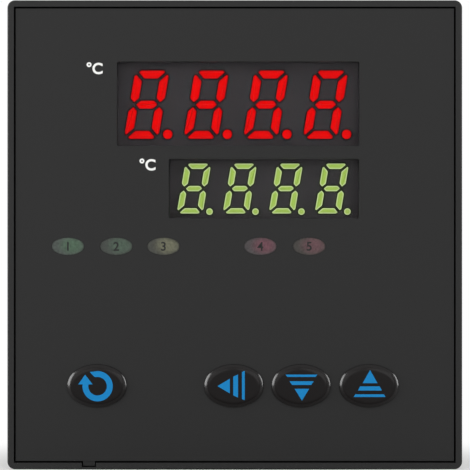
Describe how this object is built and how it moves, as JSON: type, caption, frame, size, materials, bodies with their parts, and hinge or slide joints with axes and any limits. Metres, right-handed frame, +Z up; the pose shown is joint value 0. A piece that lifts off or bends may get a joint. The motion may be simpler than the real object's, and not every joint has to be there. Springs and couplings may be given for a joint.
{
  "type": "pid temperature controller",
  "caption": "Panel-mounted temperature controller with lit digit displays, indicator lamps, push keys, a pull-out inner unit and rear screw terminals.",
  "frame": {"origin": "centre of the plane where the back of the bezel flange seats on the panel", "axes": "+Y from the front towards the terminals, +Z up, +X to the right when looking at the face"},
  "size_m": [0.096, 0.1022, 0.099],
  "materials": {
    "case_plastic": "finely textured dark grey moulding",
    "front_plastic": "satin dark grey moulding",
    "terminal_plastic": "black moulding",
    "contact_brass": "tinned brass strip",
    "screw_steel": "zinc-plated steel",
    "smoked_filter": "smoked clear acrylic",
    "display_plastic": "dark face of a display module",
    "red_segment": "lit red resin",
    "green_segment": "lit yellow-green resin",
    "lamp_white": "milky resin",
    "green_lens": "dim green translucent resin",
    "yellow_lens": "dim yellow translucent resin",
    "red_lens": "dim red translucent resin",
    "circuit_board": "green solder resist",
    "switch_plastic": "black moulding",
    "plunger_plastic": "white moulding",
    "chip_epoxy": "black epoxy",
    "header_plastic": "black moulding",
    "brace_plastic": "grey moulding",
    "ferrite": "dark grey ferrite",
    "bobbin_plastic": "brown-black moulding",
    "wound_copper": "copper wire under yellow tape",
    "relay_plastic": "blue moulding",
    "capacitor_can": "sleeved aluminium can",
    "film_capacitor_resin": "red-brown resin",
    "key_plastic": "glossy near-black moulding"
  },
  "bodies": {
    "case": {"case_shell": "case_plastic", "terminal_block_left": "terminal_plastic", "terminal_block_right": "terminal_plastic", "terminal_contacts": "contact_brass", "terminal_screws": "screw_steel"},
    "inner_unit": {"alarm_1_lens": "red_lens", "alarm_2_lens": "red_lens", "autotune_lens": "yellow_lens", "board_braces": "brace_plastic", "board_headers": "header_plastic", "display_board": "circuit_board", "display_drivers": "chip_epoxy", "electrolytic_capacitors": "capacitor_can", "film_capacitors": "film_capacitor_resin", "front_frame": "front_plastic", "indicator_lamps": "lamp_white", "input_board": "circuit_board", "isolators": "chip_epoxy", "key_switch_bodies": "switch_plastic", "microcontroller": "chip_epoxy", "output_1_lens": "green_lens", "output_2_lens": "green_lens", "power_board": "circuit_board", "pv_display_housing": "display_plastic", "pv_display_segments": "red_segment", "pv_window": "smoked_filter", "relays": "relay_plastic", "signal_converters": "chip_epoxy", "sv_display_housing": "display_plastic", "sv_display_segments": "green_segment", "sv_window": "smoked_filter", "transformer_bobbin": "bobbin_plastic", "transformer_core": "ferrite", "transformer_winding": "wound_copper"},
    "set_key": {"set_key": "key_plastic", "set_switch_plunger": "plunger_plastic"},
    "shift_key": {"shift_key": "key_plastic", "shift_switch_plunger": "plunger_plastic"},
    "down_key": {"down_key": "key_plastic", "down_switch_plunger": "plunger_plastic"},
    "up_key": {"up_key": "key_plastic", "up_switch_plunger": "plunger_plastic"}
  },
  "joints": [
    {"name": "inner_unit_slide", "type": "slide", "parent": "case", "child": "inner_unit", "axis": [0, -1, 0], "range_m": [0, 0.09]},
    {"name": "set_key_press", "type": "slide", "parent": "inner_unit", "child": "set_key", "axis": [0, 1, 0], "range_m": [0, 0.0005], "stiffness_N_per_m": 1500},
    {"name": "shift_key_press", "type": "slide", "parent": "inner_unit", "child": "shift_key", "axis": [0, 1, 0], "range_m": [0, 0.0005], "stiffness_N_per_m": 1500},
    {"name": "down_key_press", "type": "slide", "parent": "inner_unit", "child": "down_key", "axis": [0, 1, 0], "range_m": [0, 0.0005], "stiffness_N_per_m": 1500},
    {"name": "up_key_press", "type": "slide", "parent": "inner_unit", "child": "up_key", "axis": [0, 1, 0], "range_m": [0, 0.0005], "stiffness_N_per_m": 1500}
  ]
}
